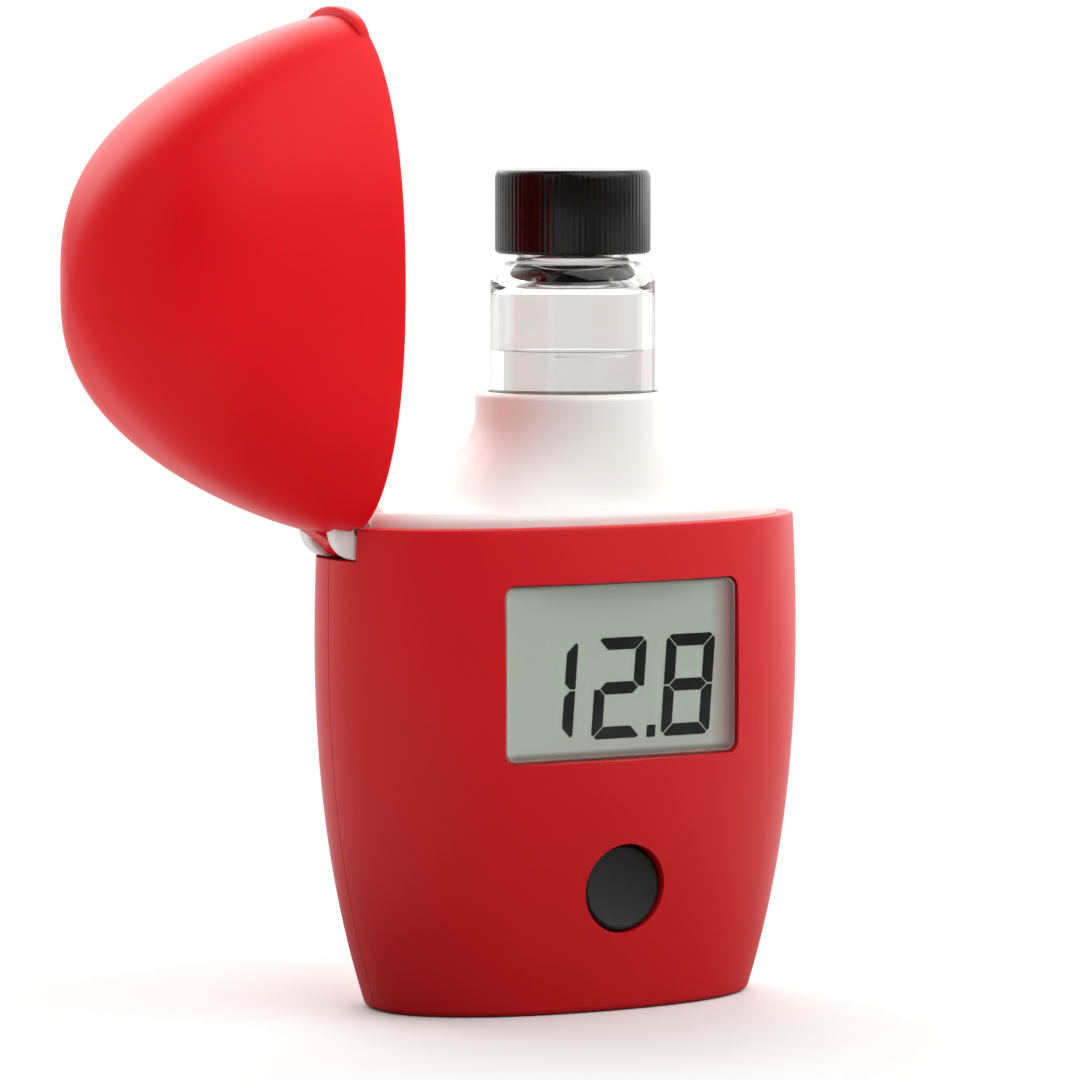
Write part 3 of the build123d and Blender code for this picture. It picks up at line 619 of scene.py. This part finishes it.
# Display window: clear moulded acrylic, set nearly flush in the case from inside by a flange,
# its front edges rounded.
WINDOW_WIDTH, WINDOW_HEIGHT = 30.7, 20.3
WINDOW_CORNER = 1.35
WINDOW_EDGE_Y = -14.2
# Acrylic, moulded and polished: clear and colourless, with faint wipe marks about 3 mm wide.
# Its mirror tint is low, as in the photograph, so that the segments behind it stay dark.
acrylic, tree, shader = material(
    "clear_moulded_acrylic", Base_Color=(0.97, 0.98, 0.98, 1), Roughness=0.03
)
shader.inputs["Transmission Weight"].default_value = 1.0
shader.inputs["Specular Tint"].default_value = (0.25, 0.25, 0.25, 1)
shader.inputs["IOR"].default_value = 1.49
place = add(tree, "TexCoord").outputs["Object"]
smears = add(tree, "TexNoise", Vector=place, Scale=320.0, Detail=4.0)
haze = add(tree, "MapRange", Value=smears.outputs["Fac"])
haze.inputs["To Min"].default_value = 0.01
haze.inputs["To Max"].default_value = 0.07
tree.links.new(haze.outputs["Result"], shader.inputs["Roughness"])


def window_ring(angle, lift=0.0):
    inset = 1.0 * (1 - sin(angle)) - lift
    radius = WINDOW_CORNER - 0.55 * inset
    outline = rounded(WINDOW_WIDTH - 2 * inset, WINDOW_HEIGHT - 2 * inset, radius, WINDOW_Z)
    y = WINDOW_EDGE_Y - cos(angle) - lift
    return [Vector((x * MM, y * MM, z * MM)) for x, z in outline]


rings = [window_ring(pi / 2 * step / 8) for step in range(9)]
for width, height, y in ((WINDOW_WIDTH, WINDOW_HEIGHT, -14.3), (32.2, 21.8, -14.3), (32.2, 21.8, -13.9)):
    outline = rounded(width, height, WINDOW_CORNER, WINDOW_Z)
    rings.append([Vector((x * MM, y * MM, z * MM)) for x, z in outline])
window = tidy(skin("window_moulding", rings, cap_start=True, cap_end=True), 40)
window.data.materials.append(acrylic)
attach(window, "case")
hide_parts("display_window")

# Edge of the window: a thin pale ring laid on its moulded bevel, a painted highlight that draws
# a light line round the window. Its roughness varies with a grain drawn at about 0.3 mm.
painted_highlight_edge, tree, shader = material(
    "painted_highlight_acrylic_edge", Base_Color=linear("#f1e4e2"), Roughness=0.35
)
shader.inputs["Transmission Weight"].default_value = 0.35
shader.inputs["IOR"].default_value = 1.49
place = add(tree, "TexCoord").outputs["Object"]
frosting = add(tree, "TexNoise", Vector=place, Scale=3500.0, Detail=2.0)
haze = add(tree, "MapRange", Value=frosting.outputs["Fac"])
haze.inputs["To Min"].default_value = 0.3
haze.inputs["To Max"].default_value = 0.5
tree.links.new(haze.outputs["Result"], shader.inputs["Roughness"])
bevel = ((48, 0.0), (48, 0.02), (60, 0.03), (74, 0.03), (86, 0.02), (86, 0.0), (67, -0.01))
rings = [window_ring(radians(degrees), lift) for degrees, lift in bevel]
# The pale ring on the bevel is a painted highlight round the window.
edge = tidy(skin("window_bevel_highlight_ring", rings, loop=True), 60)
edge.data.materials.append(painted_highlight_edge)
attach(edge, "case")

# Display panel: liquid crystal glass over a grey-green reflector, clipped in its holder.
# It is even in the middle. Along the top and the bottom it is darker, a painted shadow of the
# window's edges; along the right it turns a dull red, a painted reflection of the case's red wall.
# The reflector's flecks are drawn at about 0.2 mm.
crystal, tree, shader = material("liquid_crystal_glass", Base_Color=linear("#a9b2a7"), Roughness=0.35)
place = add(tree, "TexCoord").outputs["Object"]
split = add(tree, "SeparateXYZ", Vector=place)
fleck = add(tree, "TexNoise", Vector=place, Scale=5200.0, Detail=2.0)
# Painted reflection: towards the right edge the panel turns a dull red, the case's red wall mirrored in it.
across = add(tree, "MapRange", Value=split.outputs["X"])
across.inputs["From Min"].default_value = 0.0122
across.inputs["From Max"].default_value = 0.0143
panel_tone_and_painted_reflection = add(tree, "ValToRGB", Fac=across.outputs["Result"])
panel_tone_and_painted_reflection.color_ramp.elements[0].color = linear("#c3cdbf")
panel_tone_and_painted_reflection.color_ramp.elements[1].color = linear("#a78280")
tint = add(tree, "MixRGB", blend_type="MULTIPLY", Fac=0.10)
tree.links.new(panel_tone_and_painted_reflection.outputs["Color"], tint.inputs["Color1"])
tree.links.new(fleck.outputs["Fac"], tint.inputs["Color2"])
# Painted shadow: darker strips along the top and the bottom edges of the panel.
painted_shadow_top = add(tree, "MapRange", Value=split.outputs["Z"], interpolation_type="SMOOTHSTEP")
painted_shadow_top.inputs["From Min"].default_value = 0.0489
painted_shadow_top.inputs["From Max"].default_value = 0.0493
painted_shadow_bottom = add(tree, "MapRange", Value=split.outputs["Z"], interpolation_type="SMOOTHSTEP")
painted_shadow_bottom.inputs["From Min"].default_value = 0.0307
painted_shadow_bottom.inputs["From Max"].default_value = 0.0302
painted_shadow_strips = add(tree, "Math", operation="MAXIMUM")
tree.links.new(painted_shadow_top.outputs["Result"], painted_shadow_strips.inputs[0])
tree.links.new(painted_shadow_bottom.outputs["Result"], painted_shadow_strips.inputs[1])
painted_shadow_mix = add(tree, "MixRGB", blend_type="MULTIPLY", Color2=linear("#a99a94"))
tree.links.new(tint.outputs["Color"], painted_shadow_mix.inputs["Color1"])
tree.links.new(painted_shadow_strips.outputs[0], painted_shadow_mix.inputs["Fac"])
tree.links.new(painted_shadow_mix.outputs["Color"], shader.inputs["Base Color"])
dress("lcd_panel", crystal)

# Figures on the display: slanted seven-segment bars that read 12.8, in the crystal itself.
# A segment that is switched on is near black with a green cast, and flat, without a mirror.
FIGURES_LOW = 31.75
FIGURES_TALL = 11.65
SLANT = 0.075
FIGURES_FRONT_Y, FIGURES_BACK_Y = -13.86, -13.82
ink, tree, shader = material("dark_crystal_segment", Base_Color=linear("#0d120d"), Roughness=0.6)
shader.inputs["Specular IOR Level"].default_value = 0.05
place = add(tree, "TexCoord").outputs["Object"]
fleck = add(tree, "TexNoise", Vector=place, Scale=4000.0, Detail=2.0)
dark = add(tree, "ValToRGB", Fac=fleck.outputs["Fac"])
dark.color_ramp.elements[0].color = linear("#0b100b")
dark.color_ramp.elements[1].color = linear("#121812")
tree.links.new(dark.outputs["Color"], shader.inputs["Base Color"])


def figure(digit, left, low, wide, tall):
    across, along, gap, corner = 1.42, 1.42, 0.1, 0.55
    right, top, middle = left + wide, low + tall, low + tall / 2
    half = along / 2
    upper = [(0, top - gap - corner), (0, middle + gap), (across / 2, middle + gap)]
    upper += [(across, middle + half + gap), (across, top - along - gap)]
    upper.append((corner / 2, top - gap - corner / 2))
    lower = [(x, 2 * middle - z) for x, z in upper]
    level = [
        (left + gap + corner, top),
        (right - gap - corner, top),
        (right - gap - corner / 2, top - corner / 2),
        (right - across - gap, top - along),
        (left + across + gap, top - along),
        (left + gap + corner / 2, top - corner / 2),
    ]
    centre = [
        (left + across / 2 + gap, middle),
        (left + across + gap, middle + half),
        (right - across - gap, middle + half),
        (right - across / 2 - gap, middle),
        (right - across - gap, middle - half),
        (left + across + gap, middle - half),
    ]
    strokes = {
        "a": level,
        "b": [(right - x, z) for x, z in upper],
        "c": [(right - x, z) for x, z in lower],
        "d": [(x, 2 * middle - z) for x, z in level],
        "e": [(left + x, z) for x, z in lower],
        "f": [(left + x, z) for x, z in upper],
        "g": centre,
    }
    lit_strokes = {"1": "bc", "2": "abged", "8": "abcdefg"}[digit]
    return [strokes[name] for name in lit_strokes]


shapes = figure("1", -11.6, FIGURES_LOW, 5.3, FIGURES_TALL)
shapes += figure("2", -3.8, FIGURES_LOW, 6.6, FIGURES_TALL)
shapes += figure("8", 5.44, 31.7, 6.5, 11.75)
shapes.append([(3.55, 31.7), (4.7, 31.7), (4.7, 33.1), (3.55, 33.1)])
work = bmesh.new()
for shape in shapes:
    corners = [((x + (z - 31.5) * SLANT) * MM, z * MM) for x, z in shape]
    near = [work.verts.new((x, FIGURES_FRONT_Y * MM, z)) for x, z in corners]
    away = [work.verts.new((x, FIGURES_BACK_Y * MM, z)) for x, z in corners]
    work.faces.new(near)
    work.faces.new(list(reversed(away)))
    for k in range(len(near)):
        following = (k + 1) % len(near)
        work.faces.new((near[k], away[k], away[following], near[following]))
bmesh.ops.recalc_face_normals(work, faces=work.faces)
figures_mesh = bpy.data.meshes.new("lcd_figures")
work.to_mesh(figures_mesh)
work.free()
figures = bpy.data.objects.new("lcd_figures", figures_mesh)
scene.collection.objects.link(figures)
figures.data.materials.append(ink)
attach(figures, "case")

# Button: black silicone rubber, moulded with a flange that holds it behind the case, dished
# for a fingertip, its rim rolled over.
BUTTON_DISH = 4.5
# Silicone rubber: soft black with a weak, wide sheen; its grain is drawn at about 0.3 mm.
rubber, tree, shader = material("black_silicone_rubber", Base_Color=linear("#151313"), Roughness=0.6)
place = add(tree, "TexCoord").outputs["Object"]
grain = add(tree, "TexNoise", Vector=place, Scale=3000.0, Detail=4.0)
tone = add(tree, "ValToRGB", Fac=grain.outputs["Fac"])
tone.color_ramp.elements[0].color = linear("#121010")
tone.color_ramp.elements[1].color = linear("#1a1717")
tree.links.new(tone.outputs["Color"], shader.inputs["Base Color"])
bump = add(tree, "Bump", Strength=0.15, Distance=0.00002, Height=grain.outputs["Fac"])
tree.links.new(bump.outputs["Normal"], shader.inputs["Normal"])

profile = []
for step in range(15):
    r = BUTTON_DISH * step / 14 + 0.001
    profile.append((r, -14.53 - 0.5 * (r / BUTTON_DISH) ** 2))
for step in range(7):
    angle = pi / 2 * step / 6
    profile.append((BUTTON_DISH + 0.45 * sin(angle), -14.6 - 0.45 * cos(angle)))
profile += [(4.95, -13.6), (4.95, -13.45), (6.05, -13.45), (6.05, -12.9)]
rings = []
for r, y in profile:
    rings.append([Vector((x * MM, y * MM, z * MM)) for x, z in disc(r, 0, BUTTON_Z, 96)])
button = tidy(skin("button_cap", rings, cap_start=True, cap_end=True), 40)
button.data.materials.append(rubber)
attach(button, "button")
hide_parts("button")

# Cuvette: a blown and ground vial of clear glass, 19.2 mm across, with a thick base, a rounded
# shoulder and a neck under the cap. It stands in the well.
GLASS_OUTSIDE = 9.6
GLASS_INSIDE = 8.6
# Borosilicate glass: colourless but for a grey cast, with slow waves in the wall, 5 mm long.
glass, tree, shader = material(
    "clear_borosilicate_glass", Base_Color=(0.86, 0.85, 0.84, 1), Roughness=0.0
)
shader.inputs["Transmission Weight"].default_value = 1.0
shader.inputs["IOR"].default_value = 1.47
place = add(tree, "TexCoord").outputs["Object"]
waves = add(tree, "TexNoise", Vector=place, Scale=180.0, Detail=1.0)
bump = add(tree, "Bump", Strength=0.05, Distance=0.00003, Height=waves.outputs["Fac"])
tree.links.new(bump.outputs["Normal"], shader.inputs["Normal"])


def turned_z(name, profile):
    turns = [2 * pi * k / 128 for k in range(128)]
    rings = []
    for r, z in profile:
        rings.append([Vector(((WELL_X + r * cos(t)) * MM, r * sin(t) * MM, z * MM)) for t in turns])
    return tidy(skin(name, rings, cap_start=True, cap_end=True), 40)


profile = [(0.01, 31.5)] + arc(8.7, 32.4, 0.9, -90, 0) + [(GLASS_OUTSIDE, 60.0)]
profile += arc(7.2, 83.9, 2.4, 0, 90, 14) + [(6.9, 86.32)] + arc(6.9, 86.75, 0.43, -90, -180, 6)
profile += [(6.45, 94.2)] + arc(6.1, 94.25, 0.35, 0, 90, 5)
profile += arc(5.25, 94.25, 0.35, 90, 180, 5) + [(4.9, 86.6)] + arc(5.6, 86.2, 0.7, 180, 240, 5)
profile += [(6.6, 85.1), (7.4, 84.6), (8.05, 83.9), (8.45, 83.1)]
profile += [(GLASS_INSIDE, 82.2), (GLASS_INSIDE, 60.0)] + arc(7.7, 34.2, 0.9, 0, -90)
profile += [(0.01, 33.3)]
vial = turned_z("vial_glass", profile)
vial.data.materials.append(glass)
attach(vial, "cuvette")
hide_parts("cuvette_glass")

# Sample: clear water up to the volume line, raised a little where it wets the wall. It
# reaches 0.02 mm into the glass, so that no film of air is drawn between them.
SAMPLE_RADIUS = 8.62
# Water: clear and almost colourless; a slow swell of 11 mm keeps its top from being a mirror.
water, tree, shader = material("clear_water", Base_Color=(0.96, 0.975, 0.98, 1), Roughness=0.0)
shader.inputs["Transmission Weight"].default_value = 1.0
shader.inputs["IOR"].default_value = 1.333
place = add(tree, "TexCoord").outputs["Object"]
calm = add(tree, "TexNoise", Vector=place, Scale=90.0, Detail=1.0)
bump = add(tree, "Bump", Strength=0.02, Distance=0.00002, Height=calm.outputs["Fac"])
tree.links.new(bump.outputs["Normal"], shader.inputs["Normal"])
profile = [(0.01, 33.28)] + arc(7.72, 34.18, 0.9, -90, 0)
profile += [(SAMPLE_RADIUS, 60.0), (SAMPLE_RADIUS, 75.95), (8.5, 75.9), (0.01, 75.88)]
sample = turned_z("water_sample", profile)
sample.data.materials.append(water)
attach(sample, "cuvette")
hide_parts("cuvette_sample")

# Volume line: a thin stripe of white enamel printed on the glass and fired, a short part of
# the way round. It is matt and opaque, with specks drawn at about 0.25 mm.
LINE_LOW, LINE_HIGH = 75.35, 75.6
enamel, tree, shader = material("fired_white_enamel", Base_Color=linear("#f4f4f2"), Roughness=0.6)
place = add(tree, "TexCoord").outputs["Object"]
specks = add(tree, "TexNoise", Vector=place, Scale=4000.0, Detail=2.0)
speck_range = add(tree, "MapRange", Value=specks.outputs["Fac"])
tree.links.new(speck_range.outputs["Result"], shader.inputs["Roughness"])
line_turns = [radians(angle) for angle in range(228, 284, 2)]
line_section = ((GLASS_OUTSIDE, LINE_LOW), (9.625, LINE_LOW), (9.625, LINE_HIGH), (GLASS_OUTSIDE, LINE_HIGH))
rings = []
for r, z in line_section:
    rings.append([Vector(((WELL_X + r * cos(t)) * MM, r * sin(t) * MM, z * MM)) for t in line_turns])
mark = tidy(skin("volume_line", rings, closed=False, loop=True))
mark.data.materials.append(enamel)
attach(mark, "cuvette")

# Cap: black moulded plastic, screwed on the neck, with 84 fine upright ribs and a small round
# along its top edge.
RIBS = 84
RIB_POINTS = 8
RIB_HEIGHT = 0.035
# Phenolic from a polished mould: glossy black with a brown cast, its filler drawn at 0.45 mm.
phenolic, tree, shader = material(
    "black_moulded_phenolic", Base_Color=linear("#0c0a09"), Roughness=0.24
)
shader.inputs["Specular IOR Level"].default_value = 0.3
place = add(tree, "TexCoord").outputs["Object"]
grain = add(tree, "TexNoise", Vector=place, Scale=2200.0, Detail=3.0)
tone = add(tree, "ValToRGB", Fac=grain.outputs["Fac"])
tone.color_ramp.elements[0].color = linear("#090706")
tone.color_ramp.elements[1].color = linear("#0f0c0b")
tree.links.new(tone.outputs["Color"], shader.inputs["Base Color"])
bump = add(tree, "Bump", Strength=0.08, Distance=0.00002, Height=grain.outputs["Fac"])
tree.links.new(bump.outputs["Normal"], shader.inputs["Normal"])
rings = []
cap_profile = [(6.75, 95.5, 0), (6.75, 87.1, 0), (8.6, 87.1, 0), (8.9, 87.25, 0.3), (9.03, 87.5, 1)]
cap_profile += [(9.03, 95.8, 1), (9.0, 96.2, 0.6), (8.92, 96.5, 0.0), (8.75, 96.75, 0)]
cap_profile += [(8.5, 96.87, 0), (8.2, 96.9, 0)]
for r, z, rib in cap_profile:
    ring = []
    for k in range(RIBS * RIB_POINTS):
        ripple = RIB_HEIGHT * rib * (0.5 + 0.5 * cos(2 * pi * k / RIB_POINTS))
        angle = 2 * pi * k / (RIBS * RIB_POINTS)
        x, y = (r + ripple) * cos(angle), (r + ripple) * sin(angle)
        ring.append(Vector(((WELL_X + x) * MM, y * MM, z * MM)))
    rings.append(ring)
cap = tidy(skin("screw_cap", rings, cap_start=True, cap_end=True), 60)
cap.data.materials.append(phenolic)
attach(cap, "cap")
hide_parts("cuvette_cap")


# Parts behind the display keep the shape of their solids: a nylon holder, the green board that
# carries it, black chip packages and the steel snap dome under the button. Each finish is two
# close tones in fine specks, drawn coarse enough to show.
def speckled(name, dark, light, roughness, speck_mm, metallic=0.0):
    made, tree, shader = material(name, Roughness=roughness, Metallic=metallic)
    place = add(tree, "TexCoord").outputs["Object"]
    grain = add(tree, "TexNoise", Vector=place, Scale=1 / (speck_mm * MM), Detail=3.0)
    tone = add(tree, "ValToRGB", Fac=grain.outputs["Fac"])
    tone.color_ramp.elements[0].color = linear(dark)
    tone.color_ramp.elements[1].color = linear(light)
    tree.links.new(tone.outputs["Color"], shader.inputs["Base Color"])
    bump = add(tree, "Bump", Strength=0.1, Distance=0.00002, Height=grain.outputs["Fac"])
    tree.links.new(bump.outputs["Normal"], shader.inputs["Normal"])
    return made


dress("lcd_frame", speckled("pale_moulded_nylon", "#c9c8c2", "#d6d5cf", 0.5, 0.56))
dress("circuit_board", speckled("green_solder_mask", "#0b3d1c", "#11502a", 0.35, 1.1))
dress("board_chips", speckled("moulded_epoxy_package", "#141414", "#1e1e1e", 0.55, 0.4))
dress("button_switch", speckled("stamped_steel_dome", "#a8a49a", "#b9b5ab", 0.3, 0.83, 1.0))

# Light path round the cuvette: a matt black moulded well, which gives back no stray light, with
# a milky lamp at one port and a dark detector package at the other.
dress("cuvette_well", speckled("black_moulded_well_abs", "#0c0c0c", "#131313", 0.5, 0.56))
dress("lamp_led", speckled("milky_cast_epoxy", "#cfd6cb", "#dfe5da", 0.2, 1.25))
dress("light_detector", speckled("dark_cast_epoxy", "#151519", "#1f1f25", 0.4, 0.4))

# Power: one cell in a printed sleeve, lying across the case between a coiled spring and a plate
# of nickel-plated steel. The sleeve is a dull blue-grey; the nickel is bright and a bit warm.
dress("battery", speckled("printed_battery_sleeve", "#1f2a3f", "#26334b", 0.3, 1.4, 0.4))
nickel = speckled("nickel_plated_spring_steel", "#b5b1a6", "#c7c3b8", 0.25, 0.67, 1.0)
dress("battery_spring", nickel)
dress("battery_plate", nickel)

# Battery door and screws: the door is moulded in the case's red ABS, and its captive screw and
# the four case screws are steel with a dull, cool grey zinc plate.
dress("battery_door", red)
zinc = speckled("zinc_plated_steel", "#8e8f92", "#a2a3a6", 0.3, 0.56, 1.0)
dress("battery_door_screw", zinc)
dress("case_screws", zinc)

# Cap liner: a punched disc of white foamed plastic in the cap, matt, with cells of 0.4 mm.
dress("cap_liner", speckled("white_foamed_polyethylene", "#d9d7cf", "#e6e4dd", 0.7, 0.42))

# Light paths long enough to leave the glass, the water and the window again.
scene.cycles.transparent_max_bounces = 16
scene.cycles.transmission_bounces = 16
scene.cycles.max_bounces = 20
scene.cycles.glossy_bounces = 8
